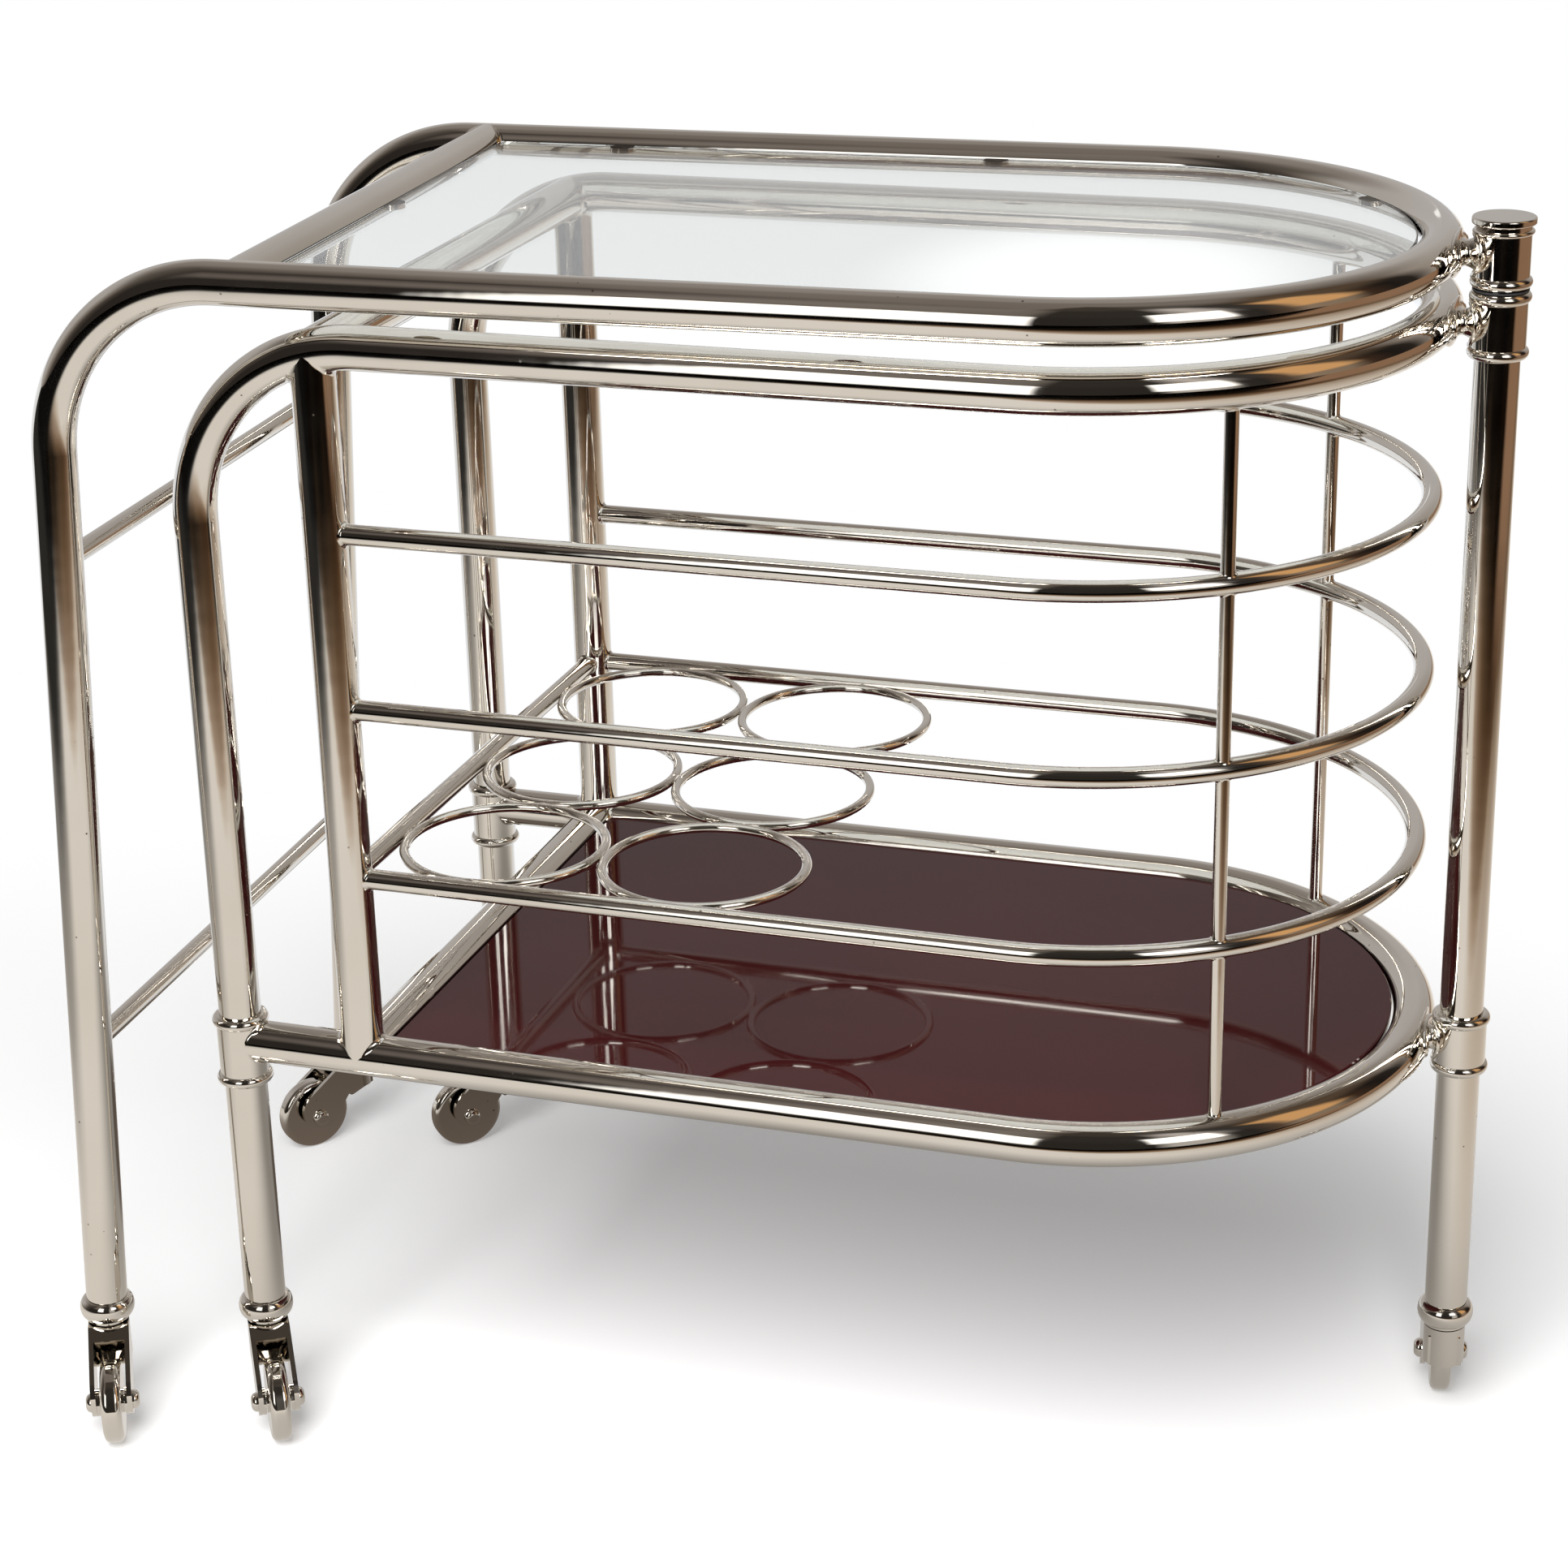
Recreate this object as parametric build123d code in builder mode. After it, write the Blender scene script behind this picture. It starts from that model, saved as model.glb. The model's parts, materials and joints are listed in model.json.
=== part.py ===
from build123d import *
from math import cos, radians, sin, sqrt, tan
import os

os.makedirs("parts", exist_ok=True)

# Stock
tube_dia = 25.4
tube_bore = 22.4
rail_dia = 12.0
spindle_dia = 8.0
ring_wire_dia = 6.0
panel_thickness = 6.0

# Plan, measured from the axis of the pivot post towards the legs
half_width = 195.0
post_gap = 33.5
base_post_gap = 29.5
upright_reach = 621.5
inner_leg_reach = 702.0
outer_leg_reach = 775.0
top_cross_reach = 660.5
spindle_angle = 54.4

# Heights above the floor
leg_end = 70.0
base_height = 257.0
first_rail_height = 372.0
rail_pitch = 105.2
deck_height = 690.5
top_height = 729.0
low_crossbar_height = 254.0
high_crossbar_height = 561.0

# Bends and angles
bend_radius = 106.0
leg_splay = 2.6
swing_at_rest = 2.1

# The post's axis from the middle of the footprint
post_x = 418.0
post_y = 36.0

# Bottle rack
rings_across = 3
rings_along = 2

# Collars: half the distance between their beads, and the drop of the leg collars below the hoop
bead_dia = 34.0
bead_height = 7.0
post_sleeve_dia = 30.5
leg_sleeve_dia = 29.5
post_collar_half = 15.5
leg_collar_half = 19.0
leg_collar_drop = 5.0

# Necks: distance from the waist towards the post, width and height of each section
neck_sections = (
    (-9.0, 62.0, 19.0),
    (-4.0, 34.0, 17.5),
    (0.0, 17.0, 15.0),
    (5.0, 20.0, 21.0),
    (10.0, 25.0, 27.0),
)

# Pivot
post_rise = 8.0
plug_head_height = 1.5
plug_head_rounding = 1.0
bush_dia = 27.4
running_clearance = 0.05
washer_dia = 31.0
washer_thickness = 1.0
washer_play = 0.3
collar_rise = 17.0
collar_ring_dia = 2.8
cap_dia = 35.0
cap_thickness = 4.0
cap_rounding = 1.0
cap_spigot = 4.0

# Panels and the lugs that carry them, with each panel's rise above the axis of its hoop
glass_rise = 1.5
shelf_rise = 3.0
panel_gap = 0.6
panel_corner = 3.0
panel_edge = 0.8
lug_dia = 16.0
lug_thickness = 3.0
lug_nose_angle = 38.0
lug_spread = 0.22

# Casters
wheel_dia = 50.8
wheel_width = 12.5
wheel_edge = 4.0
hub_dia = 15.0
hub_width = 14.5
caster_trail = 35.0
fork_width = 25.0
fork_wall = 3.0
fork_top = 65.0
fork_crown = 6.0
fork_corner = 2.0
fork_skirt_height = 40.0
cheek_dia = 29.0
cheek_x = 33.5
cheek_height = 31.5
cheek_root_x = -4.0
cheek_rounding = 4.0
boss_dia = 17.0
boss_height = 1.9
axle_dia = 6.0
axle_head_dia = 12.0
axle_head_height = 4.0
axle_head_rounding = 3.6
stem_dia = 10.0
stem_length = 36.0
stem_end_play = 1.0
socket_bottom = 66.0
socket_dia = 26.0
socket_plug_dia = 20.0
socket_top = 106.0
socket_bead_height = 74.2
socket_bead_radius = 12.4
socket_bead_width = 4.4
socket_bead_half = 6.8
caster_facing = {
    "front_inner": -58.0,
    "rear_inner": -135.0,
    "post": 99.4,
    "front_outer": -63.2,
    "rear_outer": -127.8,
}

# Worked out from the dimensions above
post_top = top_height + post_rise
round_x = -(half_width + post_gap)
base_round_x = -(half_width + base_post_gap)
rail_heights = [first_rail_height + row * rail_pitch for row in range(3)]
sides = {"front": -1, "rear": 1}
ring_dia = (2 * half_width - rail_dia) / rings_across
bend_depth = upright_reach - (inner_leg_reach - bend_radius)
deck_cross_height = deck_height - bend_radius + sqrt(bend_radius**2 - bend_depth**2)
caster_reach = outer_leg_reach + tan(radians(leg_splay)) * (top_height - socket_bead_height)

# The lower frame stands square to the axes, and the upper frame is turned about the post
cart = Plane(origin=(post_x, post_y, 0))
swung = cart.rotated((0, 0, swing_at_rest))


def place(plane, x, y, z=0.0):
    """A plane parallel to the given one, with its origin at a point measured in it."""
    return Plane(origin=plane.from_local_coords((x, y, z)), x_dir=plane.x_dir, z_dir=plane.z_dir)


def section(plane):
    """The upright plane for a turned profile: x is its radius and y runs along its axis."""
    return Plane(origin=plane.origin, x_dir=plane.x_dir, z_dir=-plane.y_dir)


def turning_axis(plane):
    return Axis(plane.origin, plane.z_dir)


def straight_route(plane, start, end):
    with BuildLine(plane) as route:
        Line(start, end)
    return route.line


def cross_route(plane, reach, height):
    """Straight across the frame, from the front rail's axis to the rear rail's."""
    return straight_route(plane, (-reach, -half_width, height), (-reach, half_width, height))


def end_route(plane, height):
    """The half circle round the pivot end."""
    with BuildLine(plane) as route:
        ThreePointArc(
            (round_x, -half_width, height),
            (round_x + half_width, 0, height),
            (round_x, half_width, height),
        )
    return route.line


def hoop_route(plane, reach, height, end_x=round_x):
    """Along the front, round the pivot end and back along the rear."""
    with BuildLine(plane) as route:
        Line((-reach, -half_width, height), (end_x, -half_width, height))
        ThreePointArc(
            (end_x, -half_width, height),
            (end_x + half_width, 0, height),
            (end_x, half_width, height),
        )
        Line((end_x, half_width, height), (-reach, half_width, height))
    return route.line


def leg_route(plane, side, reach, height, splay):
    """Along a top rail from the round end, over the bend and down a leg."""
    foot_height = leg_end - tube_dia if splay else leg_end
    foot_reach = reach + tan(radians(splay)) * (height - foot_height)
    y = side * half_width
    with BuildLine(plane) as route:
        FilletPolyline(
            (round_x, y, height),
            (-reach, y, height),
            (-foot_reach, y, foot_height),
            radius=bend_radius,
        )
    return route.line


def bar(route, outside, inside=0.0, mode=Mode.ADD):
    """Sweeps round bar, or tube where an inside diameter is given, in the piece being made."""
    with BuildSketch(Plane(origin=route @ 0, z_dir=route % 0)) as round_section:
        Circle(outside / 2)
        if inside:
            Circle(inside / 2, mode=Mode.SUBTRACT)
    sweep(sections=round_section.sketch, path=route, mode=mode)


def write(piece, name):
    piece.part.label = name
    export_step(piece.part, f"parts/{name}.step")


# Routes that more than one piece is fitted to
lower_legs = {
    name: leg_route(cart, side, inner_leg_reach, deck_height, 0) for name, side in sides.items()
}
upper_legs = {
    name: leg_route(swung, side, outer_leg_reach, top_height, leg_splay)
    for name, side in sides.items()
}
uprights = {
    name: straight_route(
        cart,
        (-upright_reach, side * half_width, base_height),
        (-upright_reach, side * half_width, deck_cross_height),
    )
    for name, side in sides.items()
}
post = straight_route(cart, (0, 0, leg_end), (0, 0, post_top))
lower_end = end_route(cart, deck_height)
upper_end = end_route(swung, top_height)
bottom_hoop_route = hoop_route(cart, inner_leg_reach, base_height, base_round_x)
gallery_routes = [hoop_route(cart, upright_reach, height) for height in rail_heights]

# Lower hoop: two bent tubes with the inner legs, and the round end between them
finished_legs = {}
for name in sides:
    with BuildPart() as lower_leg:
        bar(lower_legs[name], tube_dia, tube_bore)
    write(lower_leg, f"lower_{name}_leg")
    finished_legs[f"{name}_inner"] = lower_leg

with BuildPart() as lower_round_end:
    bar(lower_end, tube_dia, tube_bore)
write(lower_round_end, "lower_round_end")

# Uprights, coped onto the bottom hoop and into the bends of the lower hoop
for name in sides:
    with BuildPart() as upright:
        bar(uprights[name], tube_dia, tube_bore)
        bar(bottom_hoop_route, tube_dia, mode=Mode.SUBTRACT)
        bar(lower_legs[name], tube_dia, mode=Mode.SUBTRACT)
    write(upright, f"{name}_upright")

with BuildPart() as lower_cross_tube:
    bar(cross_route(cart, upright_reach, deck_cross_height), tube_dia, tube_bore)
    for name in sides:
        bar(lower_legs[name], tube_dia, mode=Mode.SUBTRACT)
        bar(uprights[name], tube_dia, mode=Mode.SUBTRACT)
write(lower_cross_tube, "lower_cross_tube")

# Bottom hoop, coped onto the sleeves of the two leg collars
with BuildPart() as bottom_hoop:
    bar(bottom_hoop_route, tube_dia, tube_bore)
    for side in sides.values():
        with BuildSketch(place(cart, -inner_leg_reach, side * half_width, base_height)):
            Circle(leg_sleeve_dia / 2)
        extrude(amount=tube_dia, both=True, mode=Mode.SUBTRACT)
write(bottom_hoop, "bottom_hoop")

with BuildPart() as bottom_cross_tube:
    bar(cross_route(cart, upright_reach, base_height), tube_dia, tube_bore)
    bar(bottom_hoop_route, tube_dia, mode=Mode.SUBTRACT)
    for name in sides:
        bar(uprights[name], tube_dia, mode=Mode.SUBTRACT)
write(bottom_cross_tube, "bottom_cross_tube")

# Gallery rails between the uprights
for name, route in zip(("low", "middle", "high"), gallery_routes):
    with BuildPart() as gallery_rail:
        bar(route, rail_dia)
        for upright_route in uprights.values():
            bar(upright_route, tube_dia, mode=Mode.SUBTRACT)
    write(gallery_rail, f"{name}_gallery_rail")

# Spindles on the round end, in lengths between the hoops and rails
spindle_x = round_x + half_width * cos(radians(spindle_angle))
spindle_y = half_width * sin(radians(spindle_angle))
for name, side in sides.items():
    spindle_route = straight_route(
        cart,
        (spindle_x, side * spindle_y, base_height),
        (spindle_x, side * spindle_y, deck_height),
    )
    with BuildPart() as spindle:
        bar(spindle_route, spindle_dia)
        bar(bottom_hoop_route, tube_dia, mode=Mode.SUBTRACT)
        bar(lower_end, tube_dia, mode=Mode.SUBTRACT)
        for route in gallery_routes:
            bar(route, rail_dia, mode=Mode.SUBTRACT)
    write(spindle, f"{name}_spindle")

# Bottle rack at the low gallery rail: a cross rod and rings that touch it, the rail and each other
with BuildPart() as rack_cross_rod:
    bar(cross_route(cart, upright_reach, first_rail_height), rail_dia)
    for upright_route in uprights.values():
        bar(upright_route, tube_dia, mode=Mode.SUBTRACT)
write(rack_cross_rod, "rack_cross_rod")

first_ring_x = -upright_reach + rail_dia / 2 + ring_dia / 2
ring_number = 0
for column in range(rings_along):
    for row in range(rings_across):
        ring_number += 1
        ring_x = first_ring_x + column * ring_dia
        ring_y = (row - (rings_across - 1) / 2) * ring_dia
        ring_place = place(cart, ring_x, ring_y, first_rail_height)
        with BuildPart() as bottle_ring:
            with BuildSketch(section(ring_place)):
                with Locations(((ring_dia - ring_wire_dia) / 2, 0)):
                    Circle(ring_wire_dia / 2)
            revolve(axis=turning_axis(ring_place))
        write(bottle_ring, f"bottle_ring_{ring_number}")


# Panels and their lugs
def round_panel(plane, cross_reach, height, end_x):
    """A flat sheet that fills a hoop from its cross tube to its round end."""
    edge = half_width - tube_dia / 2 - panel_gap
    start = -cross_reach + tube_dia / 2 + panel_gap
    with BuildPart() as panel:
        with BuildSketch(place(plane, 0, 0, height)) as outline:
            with BuildLine():
                Line((start, edge), (start, -edge))
                Line((start, -edge), (end_x, -edge))
                ThreePointArc((end_x, -edge), (end_x + edge, 0), (end_x, edge))
                Line((end_x, edge), (start, edge))
            make_face()
            fillet(outline.vertices().group_by(SortBy.DISTANCE)[-1], panel_corner)
        extrude(amount=panel_thickness / 2, both=True)
        flat_faces = panel.faces().filter_by(Axis.Z)
        chamfer(flat_faces.edges(), panel_edge)
    return panel


def panel_lugs(plane, cross_reach, height, rise, end_x):
    """Small tabs on the inside of a hoop and its cross tube, just under the panel."""
    inside = half_width - tube_dia / 2
    length = cross_reach + end_x
    nose = radians(lug_nose_angle)
    places = [(-cross_reach + tube_dia / 2, 0)]
    for side in sides.values():
        places.append((-cross_reach + lug_spread * length, side * inside))
        places.append((end_x - lug_spread * length, side * inside))
        places.append((end_x + inside * cos(nose), side * inside * sin(nose)))
    top = height + rise - panel_thickness / 2
    with BuildPart() as lugs:
        with BuildSketch(place(plane, 0, 0, top)):
            with Locations(*places):
                Circle(lug_dia / 2)
        extrude(amount=-lug_thickness)
        bar(hoop_route(plane, cross_reach, height, end_x), tube_dia, mode=Mode.SUBTRACT)
        bar(cross_route(plane, cross_reach, height), tube_dia, mode=Mode.SUBTRACT)
    return lugs


write(round_panel(cart, upright_reach, base_height + shelf_rise, base_round_x), "shelf_panel")
write(panel_lugs(cart, upright_reach, base_height, shelf_rise, base_round_x), "shelf_lugs")
write(round_panel(swung, top_cross_reach, top_height + glass_rise, round_x), "glass_top")
write(panel_lugs(swung, top_cross_reach, top_height, glass_rise, round_x), "glass_lugs")


# Collars and the pivot
def beaded_sleeve(plane, low, high, sleeve_dia, bore):
    """A turned sleeve with a half-round bead at each end, in the piece being made."""
    bead_radius = (bead_dia - bead_height) / 2
    middle = (low + high) / 2
    with BuildSketch(section(plane)) as profile:
        with Locations((sleeve_dia / 4, middle)):
            Rectangle(sleeve_dia / 2, high - low)
        with Locations((bead_radius / 2, middle)):
            Rectangle(bead_radius, high - low + bead_height)
        with Locations((bead_radius, low), (bead_radius, high)):
            Circle(bead_height / 2)
        with Locations((bore / 4, middle)):
            Rectangle(bore / 2, high - low + 2 * bead_height, mode=Mode.SUBTRACT)
    revolve(profile.sketch, axis=turning_axis(plane))


def neck(plane, height, hoop_end, bore):
    """The flared neck from a hoop's round end to the sleeve, in the piece being made."""
    hoop_face = plane.to_local_coords(hoop_end @ 0.5).X + tube_dia / 2
    waist_x = (hoop_face - post_sleeve_dia / 2) / 2
    outlines = []
    for distance, width, tall in neck_sections:
        middle = plane.from_local_coords((waist_x + distance, 0, height))
        with BuildSketch(Plane(origin=middle, x_dir=plane.y_dir, z_dir=plane.x_dir)) as outline:
            Ellipse(width / 2, tall / 2)
        outlines.append(outline.sketch)
    loft(outlines)
    bar(hoop_end, tube_dia, mode=Mode.SUBTRACT)
    with BuildSketch(place(plane, 0, 0, height)) as hole:
        Circle(bore / 2)
    extrude(hole.sketch, amount=tube_dia, both=True, mode=Mode.SUBTRACT)


with BuildPart() as pivot_post:
    bar(post, tube_dia, tube_bore)
write(pivot_post, "pivot_post")
finished_legs["post"] = pivot_post

with BuildPart() as lower_collar:
    beaded_sleeve(
        cart, deck_height - post_collar_half, deck_height + post_collar_half, post_sleeve_dia, tube_dia
    )
    neck(cart, deck_height, lower_end, tube_dia)
write(lower_collar, "lower_collar")

with BuildPart() as bottom_collar:
    beaded_sleeve(
        cart, base_height - post_collar_half, base_height + post_collar_half, post_sleeve_dia, tube_dia
    )
    neck(cart, base_height, bottom_hoop_route, tube_dia)
write(bottom_collar, "bottom_collar")

leg_collar_low = base_height - leg_collar_drop - leg_collar_half
leg_collar_high = base_height - leg_collar_drop + leg_collar_half
for name, side in sides.items():
    leg_place = place(cart, -inner_leg_reach, side * half_width)
    with BuildPart() as leg_collar:
        beaded_sleeve(leg_place, leg_collar_low, leg_collar_high, leg_sleeve_dia, tube_dia)
    write(leg_collar, f"{name}_leg_collar")

washer_bottom = deck_height + post_collar_half + bead_height / 2
with BuildPart() as thrust_washer:
    with BuildSketch(cart.offset(washer_bottom)):
        Circle(washer_dia / 2)
        Circle(tube_dia / 2 + running_clearance, mode=Mode.SUBTRACT)
    extrude(amount=washer_thickness)
write(thrust_washer, "thrust_washer")

with BuildPart() as post_plug:
    with BuildSketch(cart.offset(post_top)):
        Circle(tube_bore / 2)
    extrude(amount=-tube_bore / 2)
    with BuildSketch(cart.offset(post_top)):
        Circle(tube_dia / 2)
    extrude(amount=plug_head_height)
    fillet(post_plug.edges().sort_by(Axis.Z)[-1], plug_head_rounding)
write(post_plug, "post_plug")

# Upper frame
for name in sides:
    with BuildPart() as upper_leg:
        bar(upper_legs[name], tube_dia, tube_bore)
        split(bisect_by=Plane.XY.offset(leg_end), keep=Keep.TOP)
    write(upper_leg, f"upper_{name}_leg")
    finished_legs[f"{name}_outer"] = upper_leg

with BuildPart() as upper_round_end:
    bar(upper_end, tube_dia, tube_bore)
write(upper_round_end, "upper_round_end")

with BuildPart() as upper_cross_tube:
    bar(cross_route(swung, top_cross_reach, top_height), tube_dia, tube_bore)
    for route in upper_legs.values():
        bar(route, tube_dia, mode=Mode.SUBTRACT)
write(upper_cross_tube, "upper_cross_tube")

for name, height in (("low", low_crossbar_height), ("high", high_crossbar_height)):
    crossbar_reach = outer_leg_reach + tan(radians(leg_splay)) * (top_height - height)
    with BuildPart() as leg_crossbar:
        bar(cross_route(swung, crossbar_reach, height), rail_dia)
        for route in upper_legs.values():
            bar(route, tube_dia, mode=Mode.SUBTRACT)
    write(leg_crossbar, f"{name}_leg_crossbar")

# The pivot collar turns on the post: sleeve, bush inside it and cap on top
collar_bottom = washer_bottom + washer_thickness + washer_play
collar_low = collar_bottom + bead_height / 2
collar_top = top_height + collar_rise
with BuildPart() as upper_collar:
    with BuildSketch(section(swung)):
        with Locations((post_sleeve_dia / 4, (collar_low + collar_top) / 2)):
            Rectangle(post_sleeve_dia / 2, collar_top - collar_low)
        with Locations(((bead_dia - bead_height) / 2, collar_low)):
            Circle(bead_height / 2)
        with Locations((post_sleeve_dia / 2, collar_top - cap_thickness)):
            Circle(collar_ring_dia / 2)
        with Locations((bush_dia / 4, (collar_bottom + collar_top) / 2)):
            Rectangle(bush_dia / 2, collar_top - collar_bottom + bead_height, mode=Mode.SUBTRACT)
    revolve(axis=turning_axis(swung))
    neck(swung, top_height, upper_end, bush_dia)
write(upper_collar, "upper_collar")

with BuildPart() as pivot_bush:
    with BuildSketch(swung.offset(collar_low)):
        Circle(bush_dia / 2)
        Circle(tube_dia / 2 + running_clearance, mode=Mode.SUBTRACT)
    extrude(amount=collar_top - collar_low - cap_spigot)
write(pivot_bush, "pivot_bush")

with BuildPart() as collar_cap:
    with BuildSketch(swung.offset(collar_top)):
        Circle(cap_dia / 2)
    extrude(amount=cap_thickness)
    fillet(collar_cap.edges().filter_by(GeomType.CIRCLE), cap_rounding)
    with BuildSketch(swung.offset(collar_top)):
        Circle(bush_dia / 2)
    extrude(amount=-cap_spigot)
write(collar_cap, "collar_cap")


# Casters
def caster_socket(plane, leg):
    """The plug, end plate and round bead that hold a swivel stem at the end of a leg."""
    stem_hole = stem_dia / 2 + running_clearance
    stem_end = fork_top + stem_length + stem_end_play
    mid_wall = (tube_dia + tube_bore) / 4
    gap_width = mid_wall - socket_plug_dia / 2
    plug_length = socket_top - leg_end
    plug_middle = (leg_end + socket_top) / 2
    with BuildPart() as socket:
        with BuildSketch(section(plane)):
            with Locations((socket_dia / 4, (socket_bottom + leg_end) / 2)):
                Rectangle(socket_dia / 2, leg_end - socket_bottom)
            with Locations((socket_plug_dia / 4, plug_middle)):
                Rectangle(socket_plug_dia / 2, plug_length)
            with Locations((socket_bead_radius, socket_bead_height)):
                Ellipse(socket_bead_width, socket_bead_half)
            with Locations((mid_wall - gap_width / 2, plug_middle)):
                Rectangle(gap_width, plug_length, mode=Mode.SUBTRACT)
            with Locations((stem_hole / 2, (socket_bottom + stem_end) / 2)):
                Rectangle(stem_hole, stem_end - socket_bottom, mode=Mode.SUBTRACT)
        revolve(axis=turning_axis(plane))
        add(leg.part, mode=Mode.SUBTRACT)
    return socket


def caster_fork(plane):
    """A horn: a round front under the crown, and two broad cheeks that slope back to the axle."""
    half = fork_width / 2
    inside = half - fork_wall
    reach = cheek_x + cheek_dia
    with BuildPart() as fork:
        with BuildSketch(plane):
            Circle(half)
            with Locations((reach / 2, 0)):
                Rectangle(reach, fork_width)
        extrude(amount=fork_top)
        with BuildSketch(section(plane)) as side:
            with Locations((cheek_x, cheek_height)):
                Circle(cheek_dia / 2)
            corner_height = fork_top - fork_corner
            with Locations((cheek_root_x, corner_height), (half - fork_corner, corner_height)):
                Circle(fork_corner)
            make_hull()
            with Locations((half - fork_corner, fork_top)):
                Rectangle(reach, fork_top - fork_skirt_height, align=(Align.MAX, Align.MAX))
            underside = side.vertices().sort_by_distance((half, fork_skirt_height))[0]
            fillet(underside, cheek_rounding)
        extrude(amount=fork_width, both=True, mode=Mode.INTERSECT)
        with BuildSketch(plane):
            Circle(inside)
            with Locations((reach / 2, 0)):
                Rectangle(reach, 2 * inside)
        extrude(amount=fork_top - fork_crown, mode=Mode.SUBTRACT)
        for face in (inside, -inside):
            inward = boss_height if face > 0 else -boss_height
            with BuildSketch(section(plane).offset(face)):
                with Locations((caster_trail, wheel_dia / 2)):
                    Circle(boss_dia / 2)
            extrude(amount=-inward)
        with BuildSketch(section(plane)):
            with Locations((caster_trail, wheel_dia / 2)):
                Circle(axle_dia / 2)
        extrude(amount=fork_width, both=True, mode=Mode.SUBTRACT)
        with BuildSketch(plane.offset(fork_top - fork_crown / 2)):
            Circle(stem_dia / 2)
        extrude(amount=fork_crown / 2 + stem_length)
    return fork


def caster_axle(plane):
    """A plain pin with a domed head at each end, outside the cheeks."""
    with BuildPart() as axle:
        with BuildSketch(plane):
            Circle(axle_dia / 2)
        extrude(amount=fork_width / 2, both=True)
        for end in (plane.z_dir, -plane.z_dir):
            with BuildSketch(Plane(origin=plane.origin + end * (fork_width / 2), z_dir=end)):
                Circle(axle_head_dia / 2)
            extrude(amount=axle_head_height)
        rims = axle.edges().sort_by(turning_axis(plane))
        fillet([rims[0], rims[-1]], axle_head_rounding)
    return axle


def caster_wheel(plane):
    """A solid wheel with a rounded tread and a hub that keeps it off the cheeks."""
    with BuildPart() as wheel:
        with BuildSketch(section(plane)) as profile:
            with Locations((wheel_dia / 4, 0)):
                Rectangle(wheel_dia / 2, wheel_width)
            fillet(profile.vertices().group_by(Axis.X)[-1], wheel_edge)
            with Locations((hub_dia / 4, 0)):
                Rectangle(hub_dia / 2, hub_width)
            with Locations((axle_dia / 4, 0)):
                Rectangle(axle_dia / 2 + 2 * running_clearance, hub_width, mode=Mode.SUBTRACT)
        revolve(axis=turning_axis(plane))
    return wheel


caster_feet = {
    "front_inner": place(cart, -inner_leg_reach, -half_width),
    "rear_inner": place(cart, -inner_leg_reach, half_width),
    "post": cart,
    "front_outer": place(swung, -caster_reach, -half_width),
    "rear_outer": place(swung, -caster_reach, half_width),
}
for name, foot in caster_feet.items():
    facing = radians(caster_facing[name])
    swivel = Plane(origin=foot.origin, x_dir=(cos(facing), sin(facing), 0), z_dir=(0, 0, 1))
    axle_middle = swivel.from_local_coords((caster_trail, 0, wheel_dia / 2))
    axle_plane = Plane(origin=axle_middle, x_dir=swivel.x_dir, z_dir=swivel.y_dir)
    write(caster_socket(swivel, finished_legs[name]), f"{name}_caster_socket")
    write(caster_fork(swivel), f"{name}_caster_fork")
    write(caster_axle(axle_plane), f"{name}_caster_axle")
    write(caster_wheel(axle_plane), f"{name}_caster_wheel")
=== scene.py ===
import json
from math import cos, pi, radians, sin, sqrt, tan

import bpy
from mathutils import Matrix, Vector


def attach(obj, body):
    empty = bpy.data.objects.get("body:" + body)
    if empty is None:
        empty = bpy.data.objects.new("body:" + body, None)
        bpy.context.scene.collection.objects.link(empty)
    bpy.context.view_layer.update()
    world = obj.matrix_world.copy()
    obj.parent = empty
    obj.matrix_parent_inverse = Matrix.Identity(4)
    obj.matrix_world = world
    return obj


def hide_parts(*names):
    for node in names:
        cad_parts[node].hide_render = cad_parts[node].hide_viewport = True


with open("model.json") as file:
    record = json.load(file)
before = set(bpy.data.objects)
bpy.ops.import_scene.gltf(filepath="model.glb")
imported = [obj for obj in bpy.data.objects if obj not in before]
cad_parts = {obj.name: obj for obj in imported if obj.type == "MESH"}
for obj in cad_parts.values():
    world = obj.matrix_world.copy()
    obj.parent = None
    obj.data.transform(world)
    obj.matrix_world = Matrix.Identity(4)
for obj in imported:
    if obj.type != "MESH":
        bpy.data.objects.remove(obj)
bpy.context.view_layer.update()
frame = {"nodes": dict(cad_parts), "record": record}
nodes = frame["nodes"]
scene = bpy.context.scene
scene.view_settings.view_transform = "Standard"

# Camera
image_width = 1932
focal_pixels = 4260.93
sensor_width = 36.0
camera_place = Vector((0.63983, -1.83780, 1.16275))
camera_yaw = -0.3296
camera_pitch = 0.37798
camera_roll = -0.02458


def make_camera():
    ahead = Vector((
        sin(camera_yaw) * cos(camera_pitch),
        cos(camera_yaw) * cos(camera_pitch),
        -sin(camera_pitch),
    ))
    level = Vector((cos(camera_yaw), -sin(camera_yaw), 0))
    above = level.cross(ahead)
    right = cos(camera_roll) * level + sin(camera_roll) * above
    top = cos(camera_roll) * above - sin(camera_roll) * level
    camera = bpy.data.cameras.new("camera")
    camera.sensor_fit = "HORIZONTAL"
    camera.sensor_width = sensor_width
    camera.lens = sensor_width * focal_pixels / image_width
    camera.clip_end = 100
    holder = bpy.data.objects.new("camera", camera)
    scene.collection.objects.link(holder)
    turn = Matrix((right, top, -ahead)).transposed().to_4x4()
    holder.matrix_world = Matrix.Translation(camera_place) @ turn
    scene.camera = holder


# Node helpers: the three numbers are where a Mix node keeps its two colours and its result
color_a, color_b, color_result = 6, 7, 2


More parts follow.
